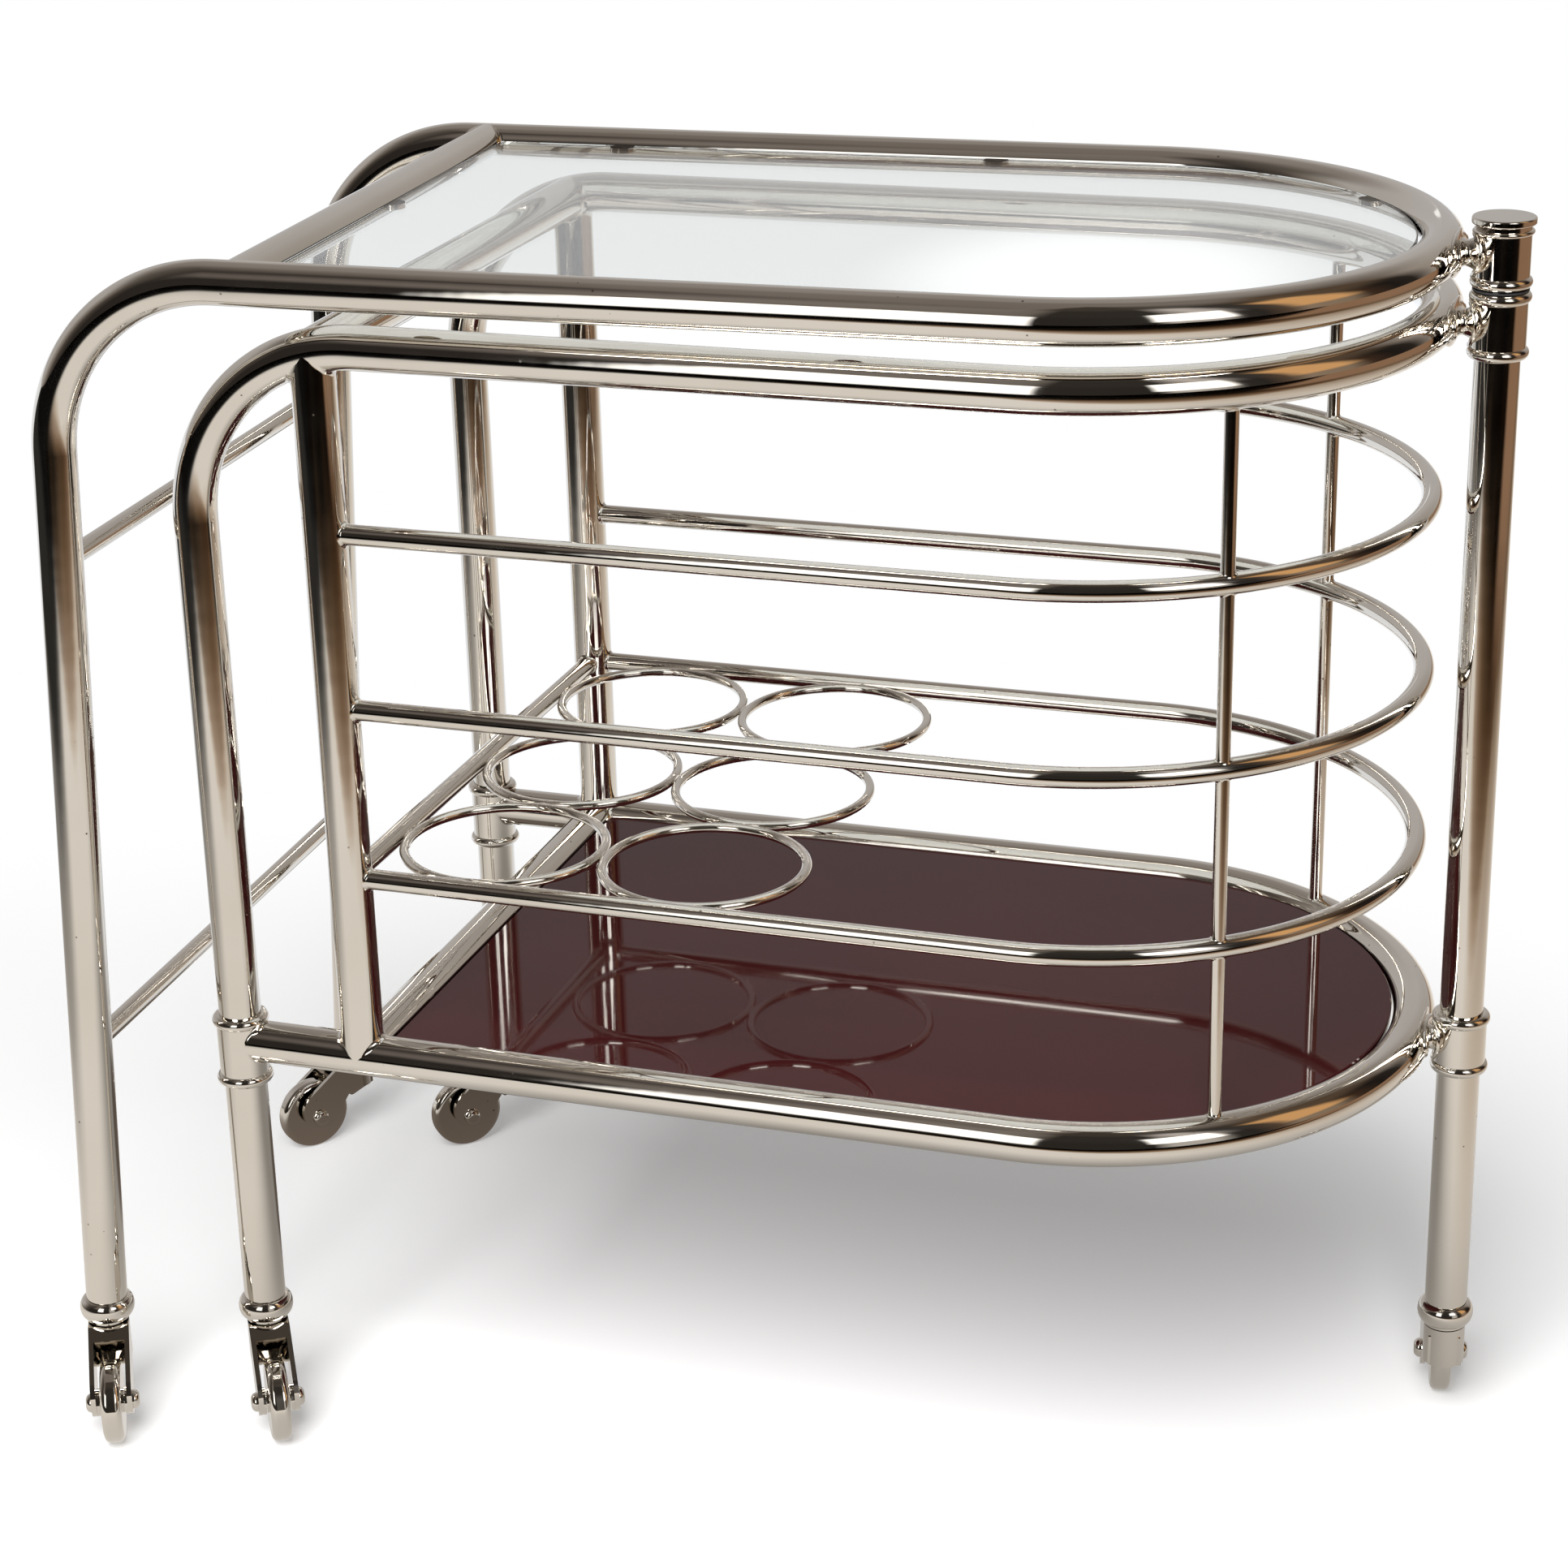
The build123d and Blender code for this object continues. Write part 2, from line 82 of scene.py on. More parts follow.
class Nodes:
    """Adds and joins the nodes of one material, lamp or world."""

    def __init__(self, tree):
        self.tree = tree
        tree.nodes.clear()

    def add(self, kind, settings=None, **inputs):
        node = self.tree.nodes.new(kind)
        for name, value in (settings or {}).items():
            setattr(node, name, value)
        for name, value in inputs.items():
            self.put(node.inputs[name.replace("_", " ")], value)
        return node

    def put(self, socket, value):
        if isinstance(value, bpy.types.NodeSocket):
            self.tree.links.new(value, socket)
        else:
            socket.default_value = value

    def math(self, operation, a, b=0.0, c=None, clamp=False):
        node = self.tree.nodes.new("ShaderNodeMath")
        node.operation = operation
        node.use_clamp = clamp
        self.put(node.inputs[0], a)
        self.put(node.inputs[1], b)
        if c is not None:
            self.put(node.inputs[2], c)
        return node.outputs[0]

    def product(self, first, *others):
        for other in others:
            first = self.math("MULTIPLY", first, other)
        return first

    def ramp(self, value, stops, easing="LINEAR"):
        node = self.tree.nodes.new("ShaderNodeValToRGB")
        band = node.color_ramp
        band.interpolation = easing
        while len(band.elements) > 1:
            band.elements.remove(band.elements[-1])
        band.elements[0].position = stops[0][0]
        band.elements[0].color = (*stops[0][1], 1)
        for position, color in stops[1:]:
            band.elements.new(position).color = (*color, 1)
        self.put(node.inputs[0], value)
        return node.outputs[0]

    def between(self, value, low, high):
        """Goes smoothly from 0 at low to 1 at high."""
        node = self.tree.nodes.new("ShaderNodeMapRange")
        node.interpolation_type = "SMOOTHSTEP"
        self.put(node.inputs["Value"], value)
        node.inputs["From Min"].default_value = low
        node.inputs["From Max"].default_value = high
        return node.outputs[0]

    def spread(self, place, middle, size):
        """The distance from a middle, with each axis divided by a size."""
        off = self.add("ShaderNodeVectorMath", {"operation": "SUBTRACT"})
        self.put(off.inputs[0], place)
        off.inputs[1].default_value = middle
        scaled = self.add("ShaderNodeVectorMath", {"operation": "DIVIDE"})
        self.put(scaled.inputs[0], off.outputs["Vector"])
        scaled.inputs[1].default_value = size
        length = self.add("ShaderNodeVectorMath", {"operation": "LENGTH"})
        self.put(length.inputs[0], scaled.outputs["Vector"])
        return length.outputs["Value"]

    def mirror_rays(self):
        """Is 1 for rays that a surface mirrors, and 0 for those that pass through glass."""
        rays = self.add("ShaderNodeLightPath").outputs
        return self.math("SUBTRACT", rays["Is Glossy Ray"], rays["Is Transmission Ray"], clamp=True)

    def blend(self, fraction, a, b, kind="MIX"):
        node = self.tree.nodes.new("ShaderNodeMix")
        node.data_type = "RGBA"
        node.blend_type = kind
        self.put(node.inputs["Factor"], fraction)
        self.put(node.inputs[color_a], a)
        self.put(node.inputs[color_b], b)
        return node.outputs[color_result]

    def tint(self, color, by):
        return self.blend(1.0, color, by, "MULTIPLY")

    def mix(self, fraction, a, b):
        node = self.tree.nodes.new("ShaderNodeMixShader")
        self.put(node.inputs[0], fraction)
        self.put(node.inputs[1], a)
        self.put(node.inputs[2], b)
        return node.outputs[0]


def material(name):
    made = bpy.data.materials.new(name)
    made.use_nodes = True
    return made, Nodes(made.node_tree)


def grey(value):
    return (value, value, value)


# Materials
def polished_nickel():
    made, net = material("polished_nickel")
    place = net.add("ShaderNodeTexCoord").outputs["Object"]
    clouds = net.add("ShaderNodeTexNoise", Vector=place, Scale=9.0, Detail=3.0).outputs["Fac"]
    plating = net.ramp(clouds, [(0.3, (0.64, 0.60, 0.54)), (0.7, (0.69, 0.655, 0.60))])
    cells = net.add("ShaderNodeTexVoronoi", Vector=place, Scale=110.0).outputs["Distance"]
    patches = net.add("ShaderNodeTexNoise", Vector=place, Scale=22.0, Detail=2.0).outputs["Fac"]
    pits = net.product(net.between(cells, 0.10, 0.05), net.between(patches, 0.56, 0.62))
    color = net.blend(pits, plating, (0.20, 0.17, 0.14, 1))
    haze = net.add("ShaderNodeTexNoise", Vector=place, Scale=35.0, Detail=4.0).outputs["Fac"]
    buffed = net.ramp(haze, [(0.35, grey(0.03)), (0.75, grey(0.085))])
    roughness = net.blend(pits, buffed, (0.4, 0.4, 0.4, 1))
    waves = net.add("ShaderNodeTexNoise", Vector=place, Scale=55.0, Detail=1.0).outputs["Fac"]
    wavy = net.add("ShaderNodeBump", Strength=1.0, Distance=0.00006, Height=waves).outputs["Normal"]
    shader = net.add(
        "ShaderNodeBsdfPrincipled", Base_Color=color, Roughness=roughness, Metallic=1.0, Normal=wavy,
    )
    net.add("ShaderNodeOutputMaterial", Surface=shader.outputs[0])
    return made


def clear_glass():
    made, net = material("clear_glass")
    glass = net.add(
        "ShaderNodeBsdfPrincipled", Base_Color=(0.93, 0.96, 0.955, 1), Roughness=0.0, IOR=1.5,
        Transmission_Weight=1.0,
    ).outputs[0]
    clear = net.add("ShaderNodeBsdfTransparent", Color=(0.88, 0.90, 0.89, 1)).outputs[0]
    lamp = net.add("ShaderNodeLightPath").outputs["Is Shadow Ray"]
    net.add("ShaderNodeOutputMaterial", Surface=net.mix(lamp, glass, clear))
    return made


def dark_red_panel():
    made, net = material("dark_red_panel")
    place = net.add("ShaderNodeTexCoord").outputs["Object"]
    clouds = net.add("ShaderNodeTexNoise", Vector=place, Scale=4.0, Detail=2.0).outputs["Fac"]
    color = net.ramp(clouds, [(0.3, (0.046, 0.0075, 0.0080)), (0.7, (0.058, 0.0105, 0.0110))])
    smears = net.add("ShaderNodeTexNoise", Vector=place, Scale=14.0, Detail=4.0).outputs["Fac"]
    wiped = net.ramp(smears, [(0.35, grey(0.022)), (0.75, grey(0.05))])
    waves = net.add("ShaderNodeTexNoise", Vector=place, Scale=9.0, Detail=1.0).outputs["Fac"]
    wavy = net.add("ShaderNodeBump", Strength=1.0, Distance=0.00004, Height=waves).outputs["Normal"]
    shader = net.add("ShaderNodeBsdfPrincipled", Base_Color=color, Roughness=wiped, IOR=1.25, Normal=wavy)
    net.add("ShaderNodeOutputMaterial", Surface=shader.outputs[0])
    return made


def bearing_plastic():
    made, net = material("bearing_plastic")
    place = net.add("ShaderNodeTexCoord").outputs["Object"]
    grain = net.add("ShaderNodeTexNoise", Vector=place, Scale=900.0, Detail=2.0).outputs["Fac"]
    color = net.ramp(grain, [(0.3, grey(0.02)), (0.7, grey(0.035))])
    moulded = net.add("ShaderNodeBump", Strength=0.3, Distance=0.0001, Height=grain).outputs["Normal"]
    worn = net.ramp(grain, [(0.3, grey(0.45)), (0.7, grey(0.6))])
    shader = net.add("ShaderNodeBsdfPrincipled", Base_Color=color, Roughness=worn, Normal=moulded)
    net.add("ShaderNodeOutputMaterial", Surface=shader.outputs[0])
    return made


# Floor: white paper, and what the metal mirrors of it, where light and shade are painted into an emission.
# Pairs are where a fade starts and ends
floor_size = 60.0
floor_pale = 0.9
floor_glow = 0.25
paper_middle = Vector((-0.1, -0.5, 0))
paper_size = Vector((1.0, 1.0, 1.0))
paper_rim = (0.8, 1.4)
front_right_way = (0.66, -0.75)
front_right_span = 2.5
front_left_way = (-0.82, -0.58)
front_left_fade = (1.25, 1.85)
front_fade = (-2.1, -1.35)
sideways_start = -1.6
sideways_span = 4.0
behind_x = (0.2, -0.1)
behind_y = (0.2, 0.5)
behind_color = (1.0, 1.03, 1.08, 1)
right_x = (1.5, 2.4)
right_y = (-1.1, -0.4)
right_color = (0.34, 0.20, 0.12, 1)
# Painted shadow of the cart on the floor that the metal mirrors: its middle and sizes
painted_shade_middle = Vector((0.05, 0.12, 0))
painted_shade_size = Vector((0.8, 0.65, 1.0))
# Painted contact shade beside the rear casters on the floor that the metal mirrors
painted_caster_shade_middle = Vector((-0.30, 0.17, 0))
painted_caster_shade_size = Vector((0.26, 0.17, 1.0))


def make_floor():
    mesh = bpy.data.meshes.new("floor")
    half = floor_size / 2
    corners = [(-half, -half, 0), (half, -half, 0), (half, half, 0), (-half, half, 0)]
    mesh.from_pydata(corners, [], [(0, 1, 2, 3)])
    floor = bpy.data.objects.new("floor", mesh)
    scene.collection.objects.link(floor)

    made, net = material("floor")
    place = net.add("ShaderNodeTexCoord").outputs["Object"]
    surface = net.mix(net.mirror_rays(), seen_floor(net, place), mirrored_floor(net, place))
    net.add("ShaderNodeOutputMaterial", Surface=surface)
    mesh.materials.append(made)


def seen_floor(net, place):
    """Pale paper that keeps the cart's shadow, and plain white farther off."""
    pale = net.add("ShaderNodeBsdfDiffuse", Color=(*grey(floor_pale), 1)).outputs[0]
    glow = net.add("ShaderNodeEmission", Color=(1, 1, 1, 1), Strength=floor_glow).outputs[0]
    near = net.add("ShaderNodeAddShader")
    net.put(near.inputs[0], pale)
    net.put(near.inputs[1], glow)
    white = net.add("ShaderNodeEmission", Color=(1, 1, 1, 1), Strength=1.0).outputs[0]
    away = net.spread(place, paper_middle, paper_size)
    return net.mix(net.between(away, *paper_rim), near.outputs[0], white)


def mirrored_floor(net, place):
    """Paints, as an emission seen only in mirrors, lit paper that falls off to a dark, warm floor, with
    the cart's shade on it.
    """
    split = net.add("ShaderNodeSeparateXYZ", Vector=place).outputs

    def reach(way):
        return net.math("MULTIPLY_ADD", split["X"], way[0], net.math("MULTIPLY", split["Y"], way[1]))

    edge = net.ramp(net.math("DIVIDE", reach(front_right_way), front_right_span), [
        (0.36, (0.96, 0.92, 0.87)),
        (0.40, (0.74, 0.64, 0.54)),
        (0.44, (0.47, 0.365, 0.28)),
        (0.52, (0.30, 0.205, 0.14)),
        (0.60, (0.19, 0.125, 0.075)),
        (0.80, (0.045, 0.032, 0.022)),
    ])
    across = net.math("DIVIDE", net.math("ADD", split["X"], -sideways_start), sideways_span)
    sideways = net.ramp(across, [
        (0.05, grey(0.28)),
        (0.16, grey(0.52)),
        (0.22, grey(0.85)),
        (0.26, grey(1.0)),
        (0.52, grey(1.0)),
        (0.61, (0.80, 0.74, 0.68)),
        (0.76, (0.46, 0.37, 0.29)),
        (0.84, (0.17, 0.12, 0.08)),
    ])
    front = net.ramp(net.between(split["Y"], *front_fade), [(0.0, grey(0.15)), (1.0, grey(1.0))])
    left = net.between(reach(front_left_way), *front_left_fade)
    far_left = net.ramp(left, [(0.0, grey(1.0)), (1.0, grey(0.12))])
    # Painted shadow under the cart, darkest at its middle
    below_cart = net.spread(place, painted_shade_middle, painted_shade_size)
    shade = net.ramp(below_cart, [(0.2, grey(0.36)), (1.0, grey(1.0))], "EASE")
    # Painted contact shade beside the rear casters, in a warm dark tone
    by_casters = net.spread(place, painted_caster_shade_middle, painted_caster_shade_size)
    painted_caster_shade = net.ramp(by_casters, [(0.5, (0.31, 0.265, 0.235)), (1.0, grey(1.0))], "EASE")
    paper = edge
    for dimming in (sideways, front, far_left, shade, painted_caster_shade):
        paper = net.tint(paper, dimming)
    behind = net.product(net.between(split["Y"], *behind_y), net.between(split["X"], *behind_x))
    paper = net.blend(behind, paper, behind_color)
    right_side = net.product(net.between(split["X"], *right_x), net.between(split["Y"], *right_y))
    paper = net.blend(right_side, paper, right_color)
    return net.add("ShaderNodeEmission", Color=paper, Strength=1.0).outputs[0]


# Studio round the cart, for mirrored rays: in degrees from the front, right being positive, or upwards
wall_fade = (24, 46)
ceiling_fade = (61, 74)
patch_fades = {"left": (76, 84), "right": (108, 98), "low": (12, 20), "high": (58, 48)}
patch_color = (0.84, 0.47, 0.20, 1)
glass_calm = 0.8
card_middle = Vector((-0.225, 0.95, 0.233))
card_size = Vector((0.075, 10.0, 0.021))
card_rim = (1.0, 0.4)
card_side = (0.5, 0.8)
card_color = (1.2, 1.2, 1.2, 1)
soft_level = 0.18
soft_front = 0.15


def azimuth_stops(stops):
    """Turns degrees from the front into places along a colour ramp."""
    return [((degrees + 180) / 360, color) for degrees, color in stops]


def make_world():
    """White behind the part and through the glass, soft light on dull surfaces, the studio in mirrors."""
    world = bpy.data.worlds.new("studio")
    scene.world = world
    world.use_nodes = True
    net = Nodes(world.node_tree)
    ray = net.add("ShaderNodeTexCoord").outputs["Generated"]
    split = net.add("ShaderNodeSeparateXYZ", Vector=ray).outputs
    rays = net.add("ShaderNodeLightPath").outputs
    front = net.math("MULTIPLY", split["Y"], -1.0)
    soft = net.math("MULTIPLY_ADD", front, soft_front, soft_level)
    through = net.math("MAXIMUM", rays["Is Camera Ray"], rays["Is Transmission Ray"])
    plain = net.blend(through, soft, (1, 1, 1, 1))
    turn = net.math("ARCTAN2", split["X"], front)
    studio = mirrored_studio(net, ray, split, turn, rays["Is Singular Ray"])
    color = net.blend(net.mirror_rays(), plain, studio)
    back = net.add("ShaderNodeBackground", Color=color, Strength=1.0)
    net.add("ShaderNodeOutputWorld", Surface=back.outputs[0])


def mirrored_studio(net, ray, split, turn, in_glass):
    """Dark walls with a warm patch at the right, a ceiling, and a pale card behind. The glass shows the
    walls in calmer colours."""
    around = net.add("ShaderNodeMapRange", Value=turn)
    around.inputs["From Min"].default_value = radians(-180)
    around.inputs["From Max"].default_value = radians(180)
    walls = net.ramp(around.outputs[0], azimuth_stops([
        (-180, (0.55, 0.53, 0.52)),
        (-96, (0.55, 0.53, 0.52)),
        (-82, (0.33, 0.30, 0.27)),
        (-66, (0.09, 0.075, 0.065)),
        (-50, (0.032, 0.027, 0.023)),
        (34, (0.032, 0.028, 0.025)),
        (40, (0.60, 0.57, 0.54)),
        (54, (0.60, 0.57, 0.54)),
        (61, (0.04, 0.035, 0.03)),
        (68, (0.032, 0.028, 0.025)),
        (76, (0.12, 0.080, 0.055)),
        (83, (0.34, 0.25, 0.18)),
        (98, (0.31, 0.23, 0.16)),
        (107, (0.06, 0.033, 0.02)),
        (118, (0.018, 0.014, 0.012)),
        (128, (0.03, 0.024, 0.02)),
        (140, (0.40, 0.35, 0.31)),
        (160, (0.47, 0.44, 0.41)),
        (180, (0.55, 0.53, 0.52)),
    ]))
    middle = net.ramp(around.outputs[0], azimuth_stops([
        (-180, (0.38, 0.35, 0.33)),
        (-120, (0.30, 0.27, 0.25)),
        (-84, (0.13, 0.115, 0.10)),
        (-48, (0.06, 0.05, 0.045)),
        (-24, (0.25, 0.22, 0.20)),
        (-8, (0.20, 0.18, 0.16)),
        (0, (0.04, 0.035, 0.03)),
        (38, (0.04, 0.035, 0.03)),
        (52, (0.70, 0.65, 0.62)),
        (59, (0.55, 0.51, 0.49)),
        (67, (0.06, 0.053, 0.05)),
        (76, (0.05, 0.045, 0.04)),
        (104, (0.13, 0.09, 0.06)),
        (130, (0.11, 0.075, 0.05)),
        (150, (0.22, 0.19, 0.17)),
        (180, (0.38, 0.35, 0.33)),
    ]))
    ceiling = net.ramp(around.outputs[0], azimuth_stops([
        (-180, (0.24, 0.21, 0.19)),
        (-20, (0.22, 0.19, 0.17)),
        (-6, (0.065, 0.055, 0.045)),
        (40, (0.065, 0.055, 0.045)),
        (70, (0.10, 0.09, 0.08)),
        (120, (0.24, 0.21, 0.19)),
        (180, (0.24, 0.21, 0.19)),
    ]))

    def upwards(fade):
        return net.between(split["Z"], *(sin(radians(degrees)) for degrees in fade))

    def sideways(fade):
        return net.between(turn, *(radians(degrees) for degrees in fade))

    low = net.blend(upwards(wall_fade), walls, middle)
    patch = net.product(
        sideways(patch_fades["left"]), sideways(patch_fades["right"]),
        upwards(patch_fades["low"]), upwards(patch_fades["high"]),
    )
    low = net.blend(patch, low, patch_color)
    calm = net.math("MULTIPLY", in_glass, glass_calm)
    low = net.blend(calm, low, net.add("ShaderNodeRGBToBW", Color=low).outputs[0])
    studio = net.blend(upwards(ceiling_fade), low, ceiling)
    card = net.between(net.spread(ray, card_middle, card_size), *card_rim)
    return net.blend(net.product(card, net.between(split["Y"], *card_side)), studio, card_color)


# Lamps: two strips that only mirrored rays see, each with its azimuth, width and heights, and one soft key
strips = {"left_strip": (-9.5, 1.08, 0.43, 2.47), "right_strip": (48, 1.14, 0.92, 2.65)}
strip_distance = 2.4
strip_power = 6.2
rim_share = 0.14
again_gain = 8.0
lit_middle = Vector((0, 0.03, 0.4))
key_way = Vector((0.15, -1.9, 1.85))
key_distance = 3.2
key_size = 1.9
key_power = 130.0


def soften(light):
    """Makes a strip fade out at its rim, and shine more where its highlight is itself mirrored."""
    light.use_nodes = True
    net = Nodes(light.node_tree)
    place = net.add("ShaderNodeNewGeometry").outputs["Parametric"]
    split = net.add("ShaderNodeSeparateXYZ", Vector=place).outputs
    rims = [
        net.between(split[axis], rim, inside)
        for axis in ("X", "Y")
        for rim, inside in ((0.0, rim_share), (1.0, 1 - rim_share))
    ]
    rays = net.add("ShaderNodeLightPath").outputs
    again = net.math("GREATER_THAN", rays["Glossy Depth"], 1.5)
    again = net.math("SUBTRACT", again, rays["Diffuse Depth"], clamp=True)
    gain = net.math("MULTIPLY_ADD", again, again_gain, 1.0)
    glow = net.add("ShaderNodeEmission", Color=(1, 1, 1, 1), Strength=net.product(*rims, gain))
    net.add("ShaderNodeOutputLight", Surface=glow.outputs[0])


def area_light(name, place, target, width, height, power, mirrored):
    light = bpy.data.lights.new(name, "AREA")
    light.shape = "RECTANGLE"
    light.size = width
    light.size_y = height
    light.energy = power
    holder = bpy.data.objects.new(name, light)
    scene.collection.objects.link(holder)
    holder.location = place
    holder.rotation_euler = (target - place).to_track_quat("-Z", "Y").to_euler()
    holder.visible_camera = False
    holder.visible_transmission = False
    holder.visible_glossy = mirrored
    holder.visible_diffuse = not mirrored
    if mirrored:
        soften(light)


def make_lights():
    for name, (azimuth, width, low, high) in strips.items():
        outward = Vector((sin(radians(azimuth)), -cos(radians(azimuth)), 0))
        target = Vector((0, 0, (low + high) / 2))
        power = strip_power * width * (high - low)
        area_light(name, outward * strip_distance + target, target, width, high - low, power, True)
    key_place = lit_middle + key_way.normalized() * key_distance
    area_light("key", key_place, lit_middle, key_size, key_size, key_power, False)


# Frame dimensions, in metres from the axis of the pivot post
post = Vector((0.418, 0.036, 0.0))
swing_at_rest = radians(2.1)
tube_radius = 0.0127
tube_bore = 0.0112
rail_radius = 0.006
spindle_radius = 0.004
half_width = 0.195
round_x = -0.2285
base_round_x = -0.2245
upright_reach = 0.6215
inner_leg_reach = 0.702
outer_leg_reach = 0.775
top_cross_reach = 0.6605
bend_radius = 0.106
leg_splay = radians(2.6)
leg_end = 0.070
base_height = 0.257
deck_height = 0.6905
top_height = 0.729
rail_heights = {"low": 0.372, "middle": 0.4772, "high": 0.5824}
crossbar_heights = {"low": 0.254, "high": 0.561}
spindle_angle = radians(54.4)
leg_sleeve_radius = 0.01475
post_sleeve_radius = 0.01525
ring_pitch = 0.126
first_ring_x = -0.5525
sides = {"front": -1, "rear": 1}
bend_centre_x = -(inner_leg_reach - bend_radius)
upright_in_bend = sqrt(bend_radius**2 - (upright_reach + bend_centre_x) ** 2)
deck_cross_height = deck_height - bend_radius + upright_in_bend
spindle_x = round_x + half_width * cos(spindle_angle)
spindle_y = half_width * sin(spindle_angle)
along = Vector((1, 0, 0))
over = Vector((0, 1, 0))
upward = Vector((0, 0, 1))
swing_turn = Matrix.Rotation(swing_at_rest, 3, "Z")


def lower(x, y, z):
    """A point of the lower frame."""
    return post + Vector((x, y, z))


def upper(x, y, z):
    """A point of the upper frame, which is turned about the post."""
    return post + swing_turn @ Vector((x, y, z))


# Solids that bars are trimmed to and welds lie on: each gives the distance outside and the way out
def round_bar(start, end, radius):
    span = end - start

    def measure(point):
        share = (point - start).dot(span) / span.length_squared
        out = point - start - span * min(1.0, max(0.0, share))
        return out.length - radius, out.normalized()

    return measure


def round_ring(middle, axis, ring_radius, radius):
    def measure(point):
        off = point - middle
        flat = off - axis * off.dot(axis)
        out = point - (middle + flat.normalized() * ring_radius)
        return out.length - radius, out.normalized()

    return measure


def below(height):
    """Everything under a height."""
    return lambda point: (point.z - height, upward)


def either(*solids):
    """Several solids as one."""
    return lambda point: min((solid(point) for solid in solids), key=lambda found: found[0])


# Bars
bend_step = radians(1.5)
least_bend_steps = 8
bar_sides = 48
sunk = 0.00015
trim_reach = 0.06
trim_rounds = 30


class Route:
    """The middle line of a bar that is bent in one plane, with its direction at each point."""

    def __init__(self, start, ahead, across):
        self.points = [start]
        self.ways = [ahead.normalized()]
        self.across = across.normalized()

    def run(self, length):
        self.points.append(self.points[-1] + self.ways[-1] * length)
        self.ways.append(self.ways[-1])
        return self

    def bend(self, radius, angle):
        start, way = self.points[-1], self.ways[-1]
        inward = self.across.cross(way) * (1 if angle > 0 else -1)
        middle = start + inward * radius
        steps = max(least_bend_steps, round(abs(angle) / bend_step))
        for step in range(1, steps + 1):
            turn = Matrix.Rotation(angle * step / steps, 3, self.across)
            self.points.append(middle + turn @ (start - middle))
            self.ways.append(turn @ way)
        return self


def trimmed(point, back, solid):
    """Moves the end of a line back along it until it comes out of a solid."""
    if solid is None or solid(point)[0] >= 0:
        return point
    low, high = 0.0, trim_reach
    for _ in range(trim_rounds):
        middle = (low + high) / 2
        if solid(point + back * middle)[0] < -sunk:
            low = middle
        else:
            high = middle
    return point + back * high


def bar(name, body, node, route, radius, bore=0.0, start_solid=None, end_solid=None):
    """A round bar, or a tube where a bore is given, that takes the place of a node."""
    points, faces, normals = [], [], []
    last = len(route.points) - 1

    def ring_of(size):
        first = len(points)
        outs = []
        for i, (middle, way) in enumerate(zip(route.points, route.ways)):
            side = route.across.cross(way)
            for j in range(bar_sides):
                turn = 2 * pi * j / bar_sides
                out = side * cos(turn) + route.across * sin(turn)
                point = middle + out * size
                if i == 0:
                    point = trimmed(point, way, start_solid)
                elif i == last:
                    point = trimmed(point, -way, end_solid)
                points.append(point)
                outs.append(out)
        return first, outs

    def wall(first, outs, outward):
        for i in range(last):
            for j in range(bar_sides):
                k = (j + 1) % bar_sides
                spots = [(i, j), (i, k), (i + 1, k), (i + 1, j)]
                if outward < 0:
                    spots.reverse()
                faces.append([first + a * bar_sides + b for a, b in spots])
                normals.extend(outs[a * bar_sides + b] * outward for a, b in spots)

    def end(i, outer, inner, way):
        for j in range(bar_sides):
            k = (j + 1) % bar_sides
            spots = [outer + i * bar_sides + j, outer + i * bar_sides + k]
            if bore:
                spots += [inner + i * bar_sides + k, inner + i * bar_sides + j]
            else:
                spots.append(inner)
            if i == 0:
                spots.reverse()
            faces.append(spots)
            normals.extend([way] * len(spots))

    outer, outs = ring_of(radius)
    wall(outer, outs, 1)
    if bore:
        inner, outs = ring_of(bore)
        wall(inner, outs, -1)
    for i, way in ((0, -route.ways[0]), (last, route.ways[-1])):
        if not bore:
            inner = len(points)
            rim = points[outer + i * bar_sides:outer + (i + 1) * bar_sides]
            points.append(sum(rim, Vector()) / bar_sides)
        end(i, outer, inner, way)
    made = piece(name, body, points, faces, normals, flat=2 * bar_sides)
    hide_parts(node)


def piece(name, body, points, faces, normals, flat=0):
    """A smooth metal piece on a body, with a normal for each corner of each face. The last faces
    may be flat."""
    mesh = bpy.data.meshes.new(name)
    mesh.from_pydata(points, [], faces)
    mesh.polygons.foreach_set("use_smooth", [i < len(faces) - flat for i in range(len(faces))])
    mesh.normals_split_custom_set(normals)
    mesh.materials.append(finish_of["polished_nickel"])
    made = bpy.data.objects.new(name, mesh)
    scene.collection.objects.link(made)
    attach(made, body)
    return made


def tube(name, body, node, route, start_solid=None, end_solid=None):
    bar(name, body, node, route, tube_radius, tube_bore, start_solid, end_solid)


def rod(name, body, node, route, radius, start_solid, end_solid):
    bar(name, body, node, route, radius, 0.0, start_solid, end_solid)


def leg_route(place, turn, side, reach, height, splay):
    """Along a top rail from the round end, over the bend and down a leg."""
    angle = pi / 2 - splay
    corner = bend_radius * tan(angle / 2)
    route = Route(place(round_x, side * half_width, height), turn @ -along, turn @ over)
    route.run(reach + round_x - corner).bend(bend_radius, -angle)
    return route.run((height - leg_end) / cos(splay) - corner + tube_radius)


def hoop_route(reach, end_x, height):
    """Along the front, round the pivot end and back along the rear."""
    route = Route(lower(-reach, -half_width, height), along, upward)
    return route.run(reach + end_x).bend(half_width, pi).run(reach + end_x)


def end_route(place, turn, height):
    return Route(place(round_x, -half_width, height), turn @ along, upward).bend(half_width, pi)


def cross_route(place, turn, reach, height):
    return Route(place(-reach, -half_width, height), turn @ over, upward).run(2 * half_width)


# What the bars end on
square = Matrix.Identity(3)


def crossbar_reach(height):
    return outer_leg_reach + tan(leg_splay) * (top_height - height)


def both(make):
    """One solid for the front and one for the rear."""
    return {name: make(side * half_width) for name, side in sides.items()}


